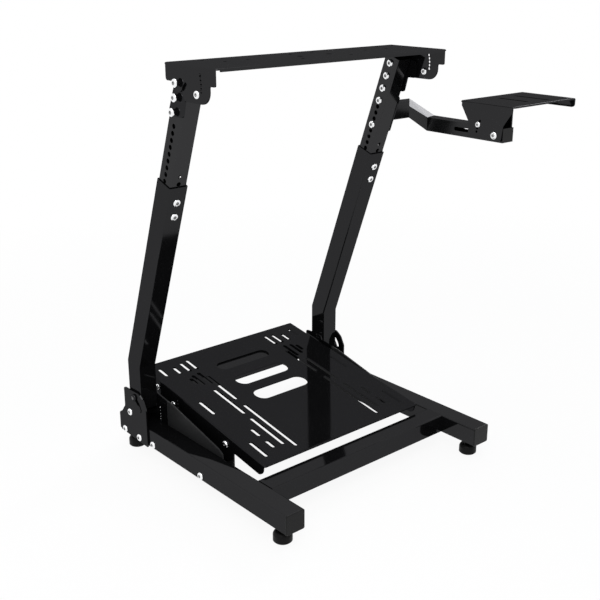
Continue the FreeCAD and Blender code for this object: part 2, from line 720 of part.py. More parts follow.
def lower_upright(side):
    """A bent square tube. Its foot stands upright between the hinge plates, and the rest leans forward."""
    def profile(inset, bottom, top):
        front = upright_foot_front + inset
        rear = upright_foot_front + upright_depth - inset
        front_line = front_across + inset
        rear_line = front_across + upright_depth - inset
        bend_front = (front, (front_line - front * lean_cosine) / lean_sine)
        bend_rear = (rear, (rear_line - rear * lean_cosine) / lean_sine)
        return [(front, bottom), bend_front, along_upright(top, front_line), along_upright(top, rear_line),
                bend_rear, (rear, bottom)]

    x0 = side * upright_inner
    x1 = side * upright_outer
    bottom = rail_top + upright_foot_clearance
    body = side_plate(profile(0, bottom, upright_rim), x0, x1)
    long_edges = [edge for edge in body.Edges if edge.Length > 2 * upright_depth
                  and abs(edge.tangentAt(edge.FirstParameter).x) < 0.1]
    body = body.makeFillet(upright_corner_radius, long_edges)
    wall = side * upright_wall
    hollow = side_plate(profile(upright_wall, bottom - 1, upright_rim + 1), x0 + wall, x1 - wall)
    body = body.cut(hollow)
    drop = fold_pivot_z - bottom
    folded = math.radians(fold_range)
    reach = 2 * upright_depth
    along = vector(0, -math.cos(folded), math.sin(folded))
    down = vector(0, -math.sin(folded), -math.cos(folded))
    start = vector(min(x0, x1), fold_pivot_y, fold_pivot_z) + down * drop
    corners = [start - along * reach, start + along * reach]
    corners += [start + along * reach + down * reach, start - along * reach + down * reach]
    toe = Part.Face(Part.makePolygon(corners + corners[:1])).extrude(vector(upright_width, 0, 0))
    lock_y, lock_z = on_circle(fold_pivot_y, fold_pivot_z, fold_slot_radius, fold_slot_start)
    cuts = [toe, rod(x0, x1, fold_pivot_y, fold_pivot_z, bolt_radius + pin_clearance),
            rod(x1, x1 - wall, lock_y, lock_z, bolt_radius + bolt_clearance)]
    for seat in clamp_seats(side):
        inward = vector(0, lean_cosine, lean_sine)
        cuts.append(Part.makeCylinder(bolt_radius + bolt_clearance, upright_wall, seat, inward))
    return body.cut(cuts)


def clamp_seats(side):
    seats = []
    for drop in clamp_bolt_drop:
        y, z = along_upright(upright_rim - drop, front_across)
        seats.append(vector(side * rail_middle, y, z))
    return seats


def clamp_bolts():
    """Bolts in the front of the lower uprights that press on the tubes inside."""
    length = tube_front_across - front_across - slide_gap
    outward = vector(0, -lean_cosine, -lean_sine)
    return [bolt(seat, outward, length) for _, side in BOTH_SIDES for seat in clamp_seats(side)]


def fold_lock_bolts():
    """Bolts through the curved slots of the outer hinge plates, into nuts inside the uprights."""
    pieces = []
    y, z = on_circle(fold_pivot_y, fold_pivot_z, fold_slot_radius, fold_slot_start)
    for _, side in BOTH_SIDES:
        head_seat = outer_plate_face + slide_gap
        nut_seat = upright_outer - upright_wall
        length = head_seat - nut_seat + nut_height
        pieces.append(bolt(vector(side * head_seat, y, z), vector(side, 0, 0), length))
        pieces.append(nut(vector(side * nut_seat, y, z), vector(-side, 0, 0)))
    return pieces


def tube_hole_list(side):
    """The row of holes. Above it only the bolts of the bracket have holes."""
    row_steps = tuple(range(max(mount_bolt_steps) + 1))
    holes = []
    for step in row_steps + bracket_bolt_steps + (tilt_pivot_step,):
        y, z = along_upright(row_distances[step], row_across)
        holes.append(rod(side * tube_inner, side * tube_outer, y, z, bolt_radius + bolt_clearance))
    return holes


def upper_upright(side):
    """The straight tube that slides in the lower upright, with a row of holes through its sides."""
    low = upright_rim - upper_tube_overlap
    wall = upper_tube_wall

    def profile(inset, start, end):
        front = tube_front_across + inset
        rear = tube_front_across + upper_tube_depth - inset
        return [along_upright(start, front), along_upright(end, front),
                along_upright(end, rear), along_upright(start, rear)]

    body = side_plate(profile(0, low, upper_tube_top), side * tube_inner, side * tube_outer)
    body = round_long_edges(body, vector(0, -lean_sine, lean_cosine), upper_tube_corner_radius)
    hollow = side_plate(profile(wall, low - 1, upper_tube_top + 1),
                        side * (tube_inner + wall), side * (tube_outer - wall))
    holes = tube_hole_list(side)
    for distance, radius in front_holes:
        y, z = along_upright(upright_rim + distance, tube_front_across)
        seat = vector(side * rail_middle, y, z)
        holes.append(Part.makeCylinder(radius, wall, seat, vector(0, lean_cosine, lean_sine)))
    return body.cut(hollow).cut(holes)


def wheel_bracket(side):
    """The plate on the upper tube that the wheel plate is bolted to. It backs the slot of the wheel plate's
    flange, and its foot reaches down the tube.
    """
    x0 = side * tube_outer
    x1 = side * bracket_face
    shield_top = tilt_pivot_z + bracket_shield_lift
    foot_z = tilt_pivot_z - bracket_foot_drop
    front = tilt_pivot_y - bracket_front_offset
    outline = [(tilt_pivot_y + tilt_ear_radius, tilt_pivot_z, 0),
               (tilt_pivot_y + bracket_foot_rear_offset, foot_z + 12, 8),
               (tilt_pivot_y + bracket_foot_rear_offset, foot_z, 5),
               (tilt_pivot_y - bracket_foot_front_offset, foot_z, 5),
               (wheel_lobe_rear, wheel_lobe_bottom, 3), (front, wheel_lobe_bottom, 6),
               (front, shield_top, 6), (tilt_pivot_y, shield_top, 0)]
    plate = side_plate(outline, x0, x1)
    plate = plate.fuse(rod(x0, x1, tilt_pivot_y, tilt_pivot_z, tilt_ear_radius)).removeSplitter()
    holes = []
    for step in bracket_bolt_steps + (tilt_pivot_step,):
        y, z = along_upright(row_distances[step], row_across)
        holes.append(rod(x0, x1, y, z, bolt_radius + bolt_clearance))
    return plate.cut(holes)


def bracket_bolt_seat(step):
    return wheel_half_width if step == tilt_pivot_step else bracket_face


def bracket_spacers():
    """Short sleeves under the heads of the left bracket's bolts."""
    pieces = []
    for step in bracket_bolt_steps + (tilt_pivot_step,):
        y, z = along_upright(row_distances[step], row_across)
        seat = bracket_bolt_seat(step)
        pieces.append(sleeve(-seat, -seat - bracket_spacer_length, y, z, bolt_radius + pin_clearance,
                             bracket_spacer_radius))
    return pieces


def bracket_bolts():
    """Bolts through the upper tubes: two hold each bracket, and the top one is the wheel plate's pivot.

    The left ones stand on short spacers.
    """
    pieces = []
    for _, side in BOTH_SIDES:
        for step in bracket_bolt_steps + (tilt_pivot_step,):
            y, z = along_upright(row_distances[step], row_across)
            outer_seat = bracket_bolt_seat(step)
            inner_seat = tube_inner
            if side < 0:
                outer_seat += bracket_spacer_length
            head, tail = (outer_seat, inner_seat) if side < 0 else (inner_seat, outer_seat)
            length = abs(head - tail) + nut_height
            pieces.append(bolt(vector(side * head, y, z), vector(-1, 0, 0), length))
            pieces.append(nut(vector(side * tail, y, z), vector(1, 0, 0)))
    return pieces


def wheel_plate():
    """A folded sheet: a level top, a short front lip and a side flange at each end."""
    under = wheel_plate_top - sheet_thickness
    corner = sheet_corner_radius
    half = wheel_half_width
    top = level_plate([(-half, wheel_plate_front, corner), (half, wheel_plate_front, corner),
                       (half, wheel_plate_rear, corner), (-half, wheel_plate_rear, corner)],
                      under, wheel_plate_top)
    top = round_top_outline(top, wheel_plate_top, sheet_bend_radius)
    lip_end = wheel_flange_inner - wheel_lip_inset
    lip = box(-lip_end, lip_end, wheel_plate_front, wheel_plate_front + sheet_thickness,
              wheel_plate_top - wheel_lip_drop, under)
    flange_bottom = wheel_plate_top - wheel_flange_drop
    front = wheel_plate_front + wheel_flange_inset
    rear = wheel_plate_rear - wheel_flange_inset
    ear = tilt_ear_radius
    outline = [(front, under, 0), (front, flange_bottom, 3),
               (wheel_lobe_front, flange_bottom, 3), (wheel_lobe_front, wheel_lobe_bottom, wheel_lobe_round),
               (wheel_lobe_rear, wheel_lobe_bottom, 12),
               (tilt_pivot_y - ear + 2, tilt_pivot_z - ear / 2, 3),
               (tilt_pivot_y + ear - 2, tilt_pivot_z - ear / 2, 3),
               (tilt_pivot_y + ear - 2, flange_bottom, 0),
               (rear, flange_bottom, 5), (rear, under, 0)]
    pieces = [lip]
    for _, side in BOTH_SIDES:
        x0 = side * wheel_flange_inner
        x1 = side * half
        pieces.append(side_plate(outline, x0, x1))
        pieces.append(rod(x0, x1, tilt_pivot_y, tilt_pivot_z, ear))
    plate = top.fuse(pieces).removeSplitter()
    cuts = []
    for holes, radius in ((wheel_holes, wheel_hole_radius), (wheel_centre_holes, wheel_centre_hole_radius)):
        for x, inset in holes:
            for side in (-1, 1):
                base = vector(side * x, wheel_plate_rear - inset, under)
                cuts.append(Part.makeCylinder(radius, sheet_thickness, base))
    lock_angle = math.degrees(math.atan2(tilt_lock_z - tilt_pivot_z, tilt_lock_y - tilt_pivot_y))
    for _, side in BOTH_SIDES:
        x0 = side * wheel_flange_inner
        x1 = side * half
        cuts.append(rod(x0, x1, tilt_pivot_y, tilt_pivot_z, bolt_radius + pin_clearance))
        cuts.append(rod(x0, x1, tilt_lock_y, tilt_lock_z, small_bolt_radius + bolt_clearance))
        ends = [(tilt_pivot_y + y, tilt_pivot_z + z) for y, z in tilt_slot_offsets]
        cuts.append(sloping_slot(x0, x1, ends[0], ends[1], tilt_slot_width))
        for step in range(tilt_hole_count):
            angle = lock_angle - tilt_hole_first - step * tilt_hole_step
            y, z = on_circle(tilt_pivot_y, tilt_pivot_z, tilt_hole_circle, angle)
            cuts.append(rod(x0, x1, y, z, tilt_hole_radius))
    return plate.cut(cuts)


def wheel_lock_bolts():
    """The tilt lock bolts in the flanges, with both heads on the left side of their sheet."""
    bolts = []
    for seat_x in (-wheel_half_width, wheel_flange_inner):
        seat = vector(seat_x, tilt_lock_y, tilt_lock_z)
        bolts.append(bolt(seat, vector(-1, 0, 0), sheet_thickness, small_bolt_radius,
                          tilt_lock_head_radius, small_head_height))
    return bolts


def shifter_mount():
    """A plate on the outer side of the right upper tube."""
    low = row_distances[min(mount_bolt_steps)] - arm_mount_reach
    high = row_distances[max(mount_bolt_steps)] + arm_mount_reach
    rear = tube_front_across + upper_tube_depth
    outline = [along_upright(low, tube_front_across), along_upright(high, tube_front_across),
               along_upright(high, rear), along_upright(low, rear)]
    plate = side_plate(outline, tube_outer, bracket_face, 4)
    holes = []
    for step in mount_bolt_steps:
        y, z = along_upright(row_distances[step], row_across)
        holes.append(rod(tube_outer, bracket_face, y, z, bolt_radius + bolt_clearance))
    return plate.cut(holes)


def shifter_mount_bolts():
    pieces = []
    for step in mount_bolt_steps:
        y, z = along_upright(row_distances[step], row_across)
        length = bracket_face - tube_inner + nut_height
        pieces.append(bolt(vector(tube_inner, y, z), vector(-1, 0, 0), length))
        pieces.append(nut(vector(bracket_face, y, z), vector(1, 0, 0)))
    return pieces


def flat_sided_solid(start, finish):
    """A solid between two four-cornered ends, with each side split into two flat triangles."""
    faces = [Part.Face(Part.makePolygon(end + end[:1])) for end in (start, finish)]
    for index in range(4):
        following = (index + 1) % 4
        for corners in ((start[index], start[following], finish[following]),
                        (start[index], finish[following], finish[index])):
            faces.append(Part.Face(Part.makePolygon(list(corners) + [corners[0]])))
    return Part.makeSolid(Part.makeShell(faces))


def shifter_arm():
    """A tube that leaves the upright, drops and turns to the driver, and ends in a slotted arm."""
    def stub_end_places(inset):
        """Front and rear ends of the stub's slanting end, seen from above."""
        slant = stub_mitre / stub_depth
        return [(stub_end + slant * inset, stub_front + inset),
                (stub_end + stub_mitre - slant * inset, stub_front + stub_depth - inset)]

    def arm_end_places(inset):
        """Left and right ends of the arm's slanting end, seen from above."""
        slant = arm_mitre / arm_width
        return [(arm_left + inset, arm_rear + slant * inset),
                (arm_left + arm_width - inset, arm_rear + arm_mitre - slant * inset)]

    def stub_end_corners(inset):
        (front_x, front_y), (rear_x, rear_y) = stub_end_places(inset)
        low = stub_bottom + inset
        return [vector(front_x, front_y, low), vector(rear_x, rear_y, low),
                vector(rear_x, rear_y, stub_bottom + stub_height - inset),
                vector(front_x, front_y, stub_bottom + bend_height - inset)]

    def arm_end_corners(inset):
        (left_x, left_y), (right_x, right_y) = arm_end_places(inset)
        low = arm_bottom + inset
        high = arm_bottom + arm_tube_height - inset
        return [vector(left_x, left_y, low), vector(right_x, right_y, low),
                vector(right_x, right_y, high), vector(left_x, left_y, high)]

    def stub_solid(inset):
        (front_x, front_y), (rear_x, rear_y) = stub_end_places(inset)
        return level_plate([(bracket_face, front_y, 0), (front_x - inset, front_y, 0),
                            (rear_x - inset, rear_y, 0), (bracket_face, rear_y, 0)],
                           stub_bottom + inset, stub_bottom + stub_height - inset)

    def arm_solid(inset):
        (left_x, left_y), (right_x, right_y) = arm_end_places(inset)
        front = arm_front + arm_cap_thickness
        return level_plate([(left_x, front, 0), (right_x, front, 0), (right_x, right_y, 0),
                            (left_x, left_y, 0)],
                           arm_bottom + inset, arm_bottom + arm_tube_height - inset)

    wall = arm_tube_wall
    stub = stub_solid(0)
    stub_hollow = stub_solid(wall)
    bend = flat_sided_solid(stub_end_corners(0), arm_end_corners(0))
    bend_hollow = flat_sided_solid(stub_end_corners(wall), arm_end_corners(wall))
    arm = arm_solid(0)
    arm_hollow = arm_solid(wall)
    tube = stub.cut(stub_hollow).fuse([bend.cut(bend_hollow), arm.cut(arm_hollow)])
    slot_end = arm_slot_front + guide_pin_spacing + slide_travel + arm_slot_spare
    slot = side_slot(arm_left, arm_left + arm_width, arm_slot_front, slot_end,
                     arm_bottom + arm_tube_height / 2, arm_slot_height)
    return tube.cut(slot)


def shifter_arm_cap():
    cap = box(arm_left, arm_left + arm_width, arm_front, arm_front + arm_cap_thickness,
              arm_bottom, arm_bottom + arm_tube_height)
    gap = arm_tube_wall + plug_clearance
    plug = box(arm_left + gap, arm_left + arm_width - gap, arm_front + arm_cap_thickness,
               arm_front + arm_cap_thickness + arm_plug_depth,
               arm_bottom + gap, arm_bottom + arm_tube_height - gap)
    return cap.fuse(plug).removeSplitter()


def shifter_carriage():
    """The plate that slides along the arm. A guide pin beside the pivot keeps it level."""
    low = pivot_z - carriage_margin
    front = arm_slot_front - carriage_margin
    rear = arm_slot_front + platform_lock_circle + carriage_margin
    outline = [(front, low, 5), (rear, low, 5), (rear, low + carriage_height, 8),
               (arm_slot_front + carriage_shoulder, low + carriage_height, 8),
               (front, low + carriage_shoulder, 8)]
    plate = side_plate(outline, carriage_left, carriage_right)
    pin_radius = arm_slot_height / 2 - slide_gap
    pin = rod(carriage_right, carriage_right + guide_pin_reach, arm_slot_front + guide_pin_spacing,
              pivot_z, pin_radius)
    plate = plate.fuse(pin)
    holes = [rod(carriage_left, carriage_right, arm_slot_front, pivot_z,
                 shifter_bolt_radius + bolt_clearance)]
    for angle in platform_hole_angles + (platform_lock_angle,):
        y, z = on_circle(arm_slot_front, pivot_z, platform_lock_circle, angle)
        holes.append(rod(carriage_left, carriage_right, y, z, platform_hole_radius))
    return plate.cut(holes)


def shifter_pivot_bolt():
    """The bolt through the arm's slot that the platform tilts on. A shoulder fits the slot."""
    seat = vector(near_left, arm_slot_front, pivot_z)
    length = far_right - near_left + nut_height
    piece = bolt(seat, vector(-1, 0, 0), length, shifter_bolt_radius)
    lock = nut(vector(far_right, arm_slot_front, pivot_z), X_AXIS, shifter_bolt_radius)
    return [piece, lock]


def shifter_platform():
    """A folded sheet: a level top with a turned-down right edge, and two cheeks astride the arm."""
    under = platform_top - sheet_thickness
    corner = sheet_corner_radius
    top = level_plate([(near_left, platform_front, corner), (platform_right, platform_front, 0),
                       (platform_right, platform_rear, 0), (near_left, platform_rear, corner)],
                      under, platform_top)
    top = round_top_outline(top, platform_top, sheet_bend_radius)
    lip_bottom = platform_top - platform_lip_drop
    lip = side_plate([(platform_front, under, 0), (platform_front, lip_bottom, platform_lip_round),
                      (platform_rear, lip_bottom, platform_lip_round), (platform_rear, under, 0)],
                     platform_right - sheet_thickness, platform_right)
    middle = arm_slot_front + cheek_middle
    shoulder = pivot_z + cheek_shoulder_lift
    front = platform_front + corner
    outline = [(front, under, 0), (front, platform_top - platform_edge_height, 3),
               (middle - cheek_half_width - 4, shoulder, 10),
               (middle - cheek_half_width, platform_foot_z, 6),
               (middle + cheek_half_width, platform_foot_z, 6),
               (middle + cheek_half_width, shoulder, 10),
               (platform_rear - corner, platform_top - platform_edge_height, 3),
               (platform_rear - corner, under, 0)]
    near = side_plate(outline, near_left, near_right)
    far_front = middle - cheek_half_width + far_cheek_inset
    outline = [(far_front, under, 0), (far_front, platform_foot_z, 6)] + outline[4:]
    far = side_plate(outline, far_left, far_right)
    platform = top.fuse([lip, near, far]).removeSplitter()
    cuts = []
    for x0, x1 in ((near_left, near_right), (far_left, far_right)):
        cuts.append(rod(x0, x1, arm_slot_front, pivot_z, shifter_bolt_radius + pin_clearance))
        for angle in platform_hole_angles:
            y, z = on_circle(arm_slot_front, pivot_z, platform_lock_circle, angle)
            cuts.append(rod(x0, x1, y, z, platform_hole_radius))
    y, z = on_circle(arm_slot_front, pivot_z, platform_lock_circle, platform_lock_angle)
    cuts.append(rod(near_left, near_right, y, z, small_bolt_radius + bolt_clearance))
    for offset, y0, y1 in platform_slots:
        cuts.append(level_slot(arm_left + offset, platform_front + y0, platform_front + y1,
                               under, platform_top, platform_slot_width))
    return platform.cut(cuts)


def shifter_lock_bolt():
    """The platform's lock bolt, drawn back out of the carriage so that the platform is free to tilt."""
    y, z = on_circle(arm_slot_front, pivot_z, platform_lock_circle, platform_lock_angle)
    return bolt(vector(near_left, y, z), vector(-1, 0, 0), sheet_thickness, small_bolt_radius,
                small_head_radius, small_head_height)


def tilt_with_pedals(shape):
    """Turns a piece drawn level, with its front top edge on the X axis, into the pedal plate's place."""
    shape.rotate(vector(0, 0, 0), X_AXIS, pedal_tilt)
    shape.translate(vector(0, pedal_front_y, pedal_front_z))
    return shape


def pedal_place(length):
    """A place along the pedal plate. A negative length counts from its rear edge."""
    return length if length > 0 else pedal_length + length


def pedal_plate():
    """A folded sheet with a wing down each side, cut with slots for pedal sets of different widths."""
    half = pedal_half_width
    corner = sheet_corner_radius
    sheet = level_plate([(-half, 0, corner), (half, 0, corner), (half, pedal_length, corner),
                         (-half, pedal_length, corner)], -sheet_thickness, 0)
    sheet = round_top_outline(sheet, 0, sheet_bend_radius)
    front = pedal_wing_inset
    rear = pedal_length - pedal_wing_inset
    under = -sheet_thickness
    outline = [(front, under, 0), (front, -pedal_flange_drop, pedal_flange_round)]
    outline += pedal_wing_nose
    outline += [(pedal_place(pedal_wing_rear), -pedal_wing_rear_drop, 20),
                (rear, -pedal_flange_drop - 2, pedal_flange_round), (rear, under, 0)]
    wings = [side_plate(outline, side * pedal_wing_inner, side * half) for _, side in BOTH_SIDES]
    plate = sheet.fuse(wings).removeSplitter()
    cuts = []
    for inset, spans in pedal_slot_columns:
        for start, finish in spans:
            for side in (-1, 1):
                cuts.append(level_slot(side * (half - inset), pedal_place(start), pedal_place(finish),
                                       under, 0, pedal_slot_width))
    for start, finish in pedal_cutouts:
        radius = (finish - start) / 2
        y = pedal_place(start) + radius
        reach = pedal_cutout_half_length - radius
        opening = box(-reach, reach, y - radius, y + radius, under, 0)
        ends = [Part.makeCylinder(radius, sheet_thickness, vector(x, y, under)) for x in (-reach, reach)]
        cuts.append(opening.fuse(ends))
    plate = tilt_with_pedals(plate.cut(cuts))
    holes = []
    for _, side in BOTH_SIDES:
        x0 = side * pedal_wing_inner
        x1 = side * half
        holes.append(rod(x0, x1, pedal_pivot_y, pedal_pivot_z, bolt_radius + pin_clearance))
        for y, z in wing_bolt_places:
            holes.append(rod(x0, x1, y, z, small_bolt_radius + bolt_clearance))
    return plate.cut(holes)


def pedal_support_tube():
    """The tube across the underside of the pedal plate, between the walls of the brackets."""
    half = pedal_eye_inner - slide_gap
    rear = pedal_length - support_tube_rear
    front = rear - support_tube_depth
    top = -sheet_thickness
    outer = box(-half, half, front, rear, top - support_tube_height, top)
    wall = support_tube_wall
    hollow = box(-half, half, front + wall, rear - wall, top - support_tube_height + wall, top - wall)
    return tilt_with_pedals(outer.cut(hollow))


def wing_bolts():
    """The bolts in the wings. They end flush inside, so that the plate is free to tilt past the brackets."""
    pieces = []
    for _, side in BOTH_SIDES:
        for y, z in wing_bolt_places:
            seat = vector(side * pedal_half_width, y, z)
            pieces.append(bolt(seat, vector(side, 0, 0), sheet_thickness, small_bolt_radius,
                               small_head_radius, small_head_height))
    return pieces


os.makedirs("parts", exist_ok=True)
for name, side in BOTH_SIDES:
    save(name + "_rail", rail(side))
    save(name + "_rail_caps", *rail_caps(side))
    save("front_" + name + "_foot", foot(side, foot_inset_end))
    save("rear_" + name + "_foot", foot(side, rail_length - foot_inset_end))
    save(name + "_outer_hinge_plate", outer_hinge_plate(side))
    save(name + "_inner_hinge_plate", inner_hinge_plate(side))
    save(name + "_pedal_bracket", pedal_bracket(side))
    save(name + "_lower_upright", lower_upright(side))
    save(name + "_upper_upright", upper_upright(side))
    save(name + "_wheel_bracket", wheel_bracket(side))
save("front_cross_tube", cross_tube())
save("rail_bolts", *rail_bolts())
save("upright_pivot_bolts", *upright_pivot_bolts())
save("pedal_pivot_bolts", *pedal_pivot_bolts())
save("clamp_bolts", *clamp_bolts())
save("fold_lock_bolts", *fold_lock_bolts())
save("bracket_bolts", *bracket_bolts())
save("bracket_spacers", *bracket_spacers())
save("wheel_plate", wheel_plate())
save("wheel_lock_bolts", *wheel_lock_bolts())
save("shifter_mount", shifter_mount())
save("shifter_mount_bolts", *shifter_mount_bolts())
save("shifter_arm", shifter_arm())
save("shifter_arm_cap", shifter_arm_cap())
save("shifter_carriage", shifter_carriage())
save("shifter_pivot_bolt", *shifter_pivot_bolt())
save("shifter_platform", shifter_platform())
save("shifter_lock_bolt", shifter_lock_bolt())
save("pedal_plate", pedal_plate())
save("pedal_support_tube", pedal_support_tube())
save("wing_bolts", *wing_bolts())
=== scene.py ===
# %% [markdown]
# # A racing wheel stand in glossy black paint
# The exact solids of the stand come in as a fixed frame. This notebook gives them their finishes, adds the
# small shapes that catch the light, such as cups of painted shade in the sockets of the bolts and the rims
# of holes, and sets up a pale studio.

# %% Load the frame
import json
import math
import bmesh
import bpy
from mathutils import Matrix, Vector


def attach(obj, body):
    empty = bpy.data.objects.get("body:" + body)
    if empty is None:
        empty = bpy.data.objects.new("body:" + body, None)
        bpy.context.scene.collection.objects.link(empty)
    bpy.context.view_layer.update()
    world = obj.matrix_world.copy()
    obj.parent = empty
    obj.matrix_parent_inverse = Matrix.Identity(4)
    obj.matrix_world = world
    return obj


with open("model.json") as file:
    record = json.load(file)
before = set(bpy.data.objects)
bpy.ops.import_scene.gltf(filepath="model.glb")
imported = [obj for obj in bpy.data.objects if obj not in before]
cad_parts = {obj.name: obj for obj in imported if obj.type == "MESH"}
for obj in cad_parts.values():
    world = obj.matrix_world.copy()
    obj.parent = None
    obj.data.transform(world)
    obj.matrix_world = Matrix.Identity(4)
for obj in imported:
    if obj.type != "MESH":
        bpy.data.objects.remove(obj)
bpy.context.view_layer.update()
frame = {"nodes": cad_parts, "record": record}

# %% [markdown]
# ## The camera
# The camera stands in front of the stand and to its left, a little above the wheel plate. A camera is
# placed by a position and a direction. The direction could be given as three angles, but those are hard to
# read. Here a vector is turned into a rotation with `to_track_quat`, which also keeps the picture upright.

# %% Camera
VIEW_POSITION = Vector((-1.10133, -1.01987, 0.89336))
VIEW_DIRECTION = Vector((0.61655, 0.71455, -0.33068))
VIEW_ANGLE = math.radians(34.41)
SENSOR_WIDTH = 36.0
FAR_LIMIT = 30.0
camera_data = bpy.data.cameras.new("camera")
camera_data.sensor_width = SENSOR_WIDTH
camera_data.lens = SENSOR_WIDTH / 2 / math.tan(VIEW_ANGLE / 2)
camera_data.clip_end = FAR_LIMIT
camera = bpy.data.objects.new("camera", camera_data)
camera.location = VIEW_POSITION
camera.rotation_mode = "QUATERNION"
camera.rotation_quaternion = VIEW_DIRECTION.to_track_quat("-Z", "Y")
bpy.context.collection.objects.link(camera)
bpy.context.scene.camera = camera
bpy.context.scene.view_settings.view_transform = "Standard"
print("camera with a lens of", round(camera_data.lens, 1), "mm")

# %% [markdown]
# ## What the rays see
# A shader can ask what kind of ray has reached it. Here a white background is shown to the camera and to
# glossy surfaces, while the light that falls on the stand stays soft. Both the world and the floor need
# such a mask, so it is a helper: it takes the largest of a few answers of the Light Path node, each of
# which is 0 or 1.

# %% Ray mask
def ray_mask(tree, *kinds_of_ray):
    """A socket that is 1 for the named kinds of ray and 0 for all others."""
    path = tree.nodes.new("ShaderNodeLightPath")
    mask = path.outputs[kinds_of_ray[0]]
    for kind in kinds_of_ray[1:]:
        larger = tree.nodes.new("ShaderNodeMath")
        larger.operation = "MAXIMUM"
        tree.links.new(mask, larger.inputs[0])
        tree.links.new(path.outputs[kind], larger.inputs[1])
        mask = larger.outputs[0]
    return mask


# %% [markdown]
# ## The room
# Glossy black paint has almost no colour of its own: what it shows is the room. So the room matters more
# than the lamps. The world is plain white to the camera and to reflections, and a soft grey to everything
# else, which keeps the lighting level even. A picture of a room would do too, but a plain one leaves no
# marks in the paint.

# %% World
ROOM_WHITE = (1.0, 1.0, 1.0, 1.0)
FILL_TINT = (0.96, 0.98, 1.0, 1.0)
FILL_STRENGTH = 0.55
world = bpy.data.worlds.new("studio")
bpy.context.scene.world = world
world.use_nodes = True
tree = world.node_tree
tree.nodes.clear()
room = tree.nodes.new("ShaderNodeBackground")
room.inputs["Color"].default_value = ROOM_WHITE
room.inputs["Strength"].default_value = 1.0
fill = tree.nodes.new("ShaderNodeBackground")
fill.inputs["Color"].default_value = FILL_TINT
fill.inputs["Strength"].default_value = FILL_STRENGTH
mix = tree.nodes.new("ShaderNodeMixShader")
seen = ray_mask(tree, "Is Camera Ray", "Is Glossy Ray", "Is Transmission Ray")
tree.links.new(seen, mix.inputs["Fac"])
tree.links.new(fill.outputs[0], mix.inputs[1])
tree.links.new(room.outputs[0], mix.inputs[2])
world_output = tree.nodes.new("ShaderNodeOutputWorld")
tree.links.new(mix.outputs[0], world_output.inputs["Surface"])
print("world with", len(tree.nodes), "nodes")

# %% [markdown]
# ## The lamps
# Two wide lamps from above give the paint its broad, soft shine. A third one is small and narrow. It only
# reaches the bend of the shifter arm, whose sloping top would otherwise mirror nothing bright. Area lamps
# are used, because points and suns leave hard spots in glossy paint.

# %% Lamps
STAND_MIDDLE = Vector((0, 0.25, 0.3))
SHIFTER_BEND = Vector((0.325, 0.275, 0.615))
SIDE_LAMP_SPREAD = math.radians(36)


def soft_lamp(name, place, target, size, power):
    """A square lamp at a place, turned to a target."""
    data = bpy.data.lights.new(name, "AREA")
    data.shape = "SQUARE"
    data.size = size
    data.energy = power
    lamp = bpy.data.objects.new(name, data)
    lamp.location = place
    lamp.rotation_mode = "QUATERNION"
    lamp.rotation_quaternion = (target - lamp.location).to_track_quat("-Z", "Y")
    bpy.context.collection.objects.link(lamp)
    print(name, round((target - lamp.location).length, 2), "m from its target")
    return lamp


soft_lamp("key_lamp", place=(-1.6, -1.2, 2.6), target=STAND_MIDDLE, size=1.8, power=34.0)
soft_lamp("top_lamp", place=(0.3, 0.5, 3.0), target=STAND_MIDDLE, size=1.8, power=24.0)
side_lamp = soft_lamp("side_lamp", place=(1.62, 0.72, 1.22), target=SHIFTER_BEND, size=0.5, power=0.7)
side_lamp.data.spread = SIDE_LAMP_SPREAD

# %% [markdown]
# ## The floor
# The floor is one wide sheet. Lit like the stand, it would come out grey towards the horizon, so a share of
# it glows for the camera and for reflections. Under the stand that share is a little smaller, and the sheet
# keeps the shadow there. A round gradient on Object coordinates tells how far a place is from the middle.

# %% Floor
FLOOR_SIZE = 24.0
FLOOR_PALE = (0.93, 0.93, 0.93, 1.0)
SHADOW_REACH = 2.2
FADE_END = 0.5
BRIGHT_SHARE = 0.92
floor_mesh = bpy.data.meshes.new("floor")
shape = bmesh.new()
bmesh.ops.create_grid(shape, x_segments=1, y_segments=1, size=FLOOR_SIZE / 2)
shape.to_mesh(floor_mesh)
shape.free()
floor = bpy.data.objects.new("floor", floor_mesh)
bpy.context.collection.objects.link(floor)
print("floor", FLOOR_SIZE, "m wide")

# %% Floor paint
floor_paint = bpy.data.materials.new("pale_floor")
floor_paint.use_nodes = True
tree = floor_paint.node_tree
tree.nodes.clear()
matte = tree.nodes.new("ShaderNodeBsdfDiffuse")
matte.inputs["Color"].default_value = FLOOR_PALE
bright = tree.nodes.new("ShaderNodeEmission")
bright.inputs["Strength"].default_value = 1.0
place = tree.nodes.new("ShaderNodeTexCoord")
spread = tree.nodes.new("ShaderNodeMapping")
spread.inputs["Scale"].default_value = (1 / SHADOW_REACH, 1 / SHADOW_REACH, 1.0)
round_fade = tree.nodes.new("ShaderNodeTexGradient")
round_fade.gradient_type = "SPHERICAL"
tree.links.new(place.outputs["Object"], spread.inputs["Vector"])
tree.links.new(spread.outputs["Vector"], round_fade.inputs["Vector"])
near = tree.nodes.new("ShaderNodeMapRange")
near.inputs["From Max"].default_value = FADE_END
near.inputs["To Min"].default_value = 1.0
near.inputs["To Max"].default_value = BRIGHT_SHARE
tree.links.new(round_fade.outputs["Fac"], near.inputs["Value"])
share = tree.nodes.new("ShaderNodeMath")
share.operation = "MULTIPLY"
tree.links.new(ray_mask(tree, "Is Camera Ray", "Is Glossy Ray"), share.inputs[0])
tree.links.new(near.outputs["Result"], share.inputs[1])
mix = tree.nodes.new("ShaderNodeMixShader")
tree.links.new(share.outputs[0], mix.inputs["Fac"])
tree.links.new(matte.outputs[0], mix.inputs[1])
tree.links.new(bright.outputs[0], mix.inputs[2])
floor_output = tree.nodes.new("ShaderNodeOutputMaterial")
tree.links.new(mix.outputs[0], floor_output.inputs["Surface"])
floor_mesh.materials.append(floor_paint)
print("floor paint with", len(tree.nodes), "nodes")

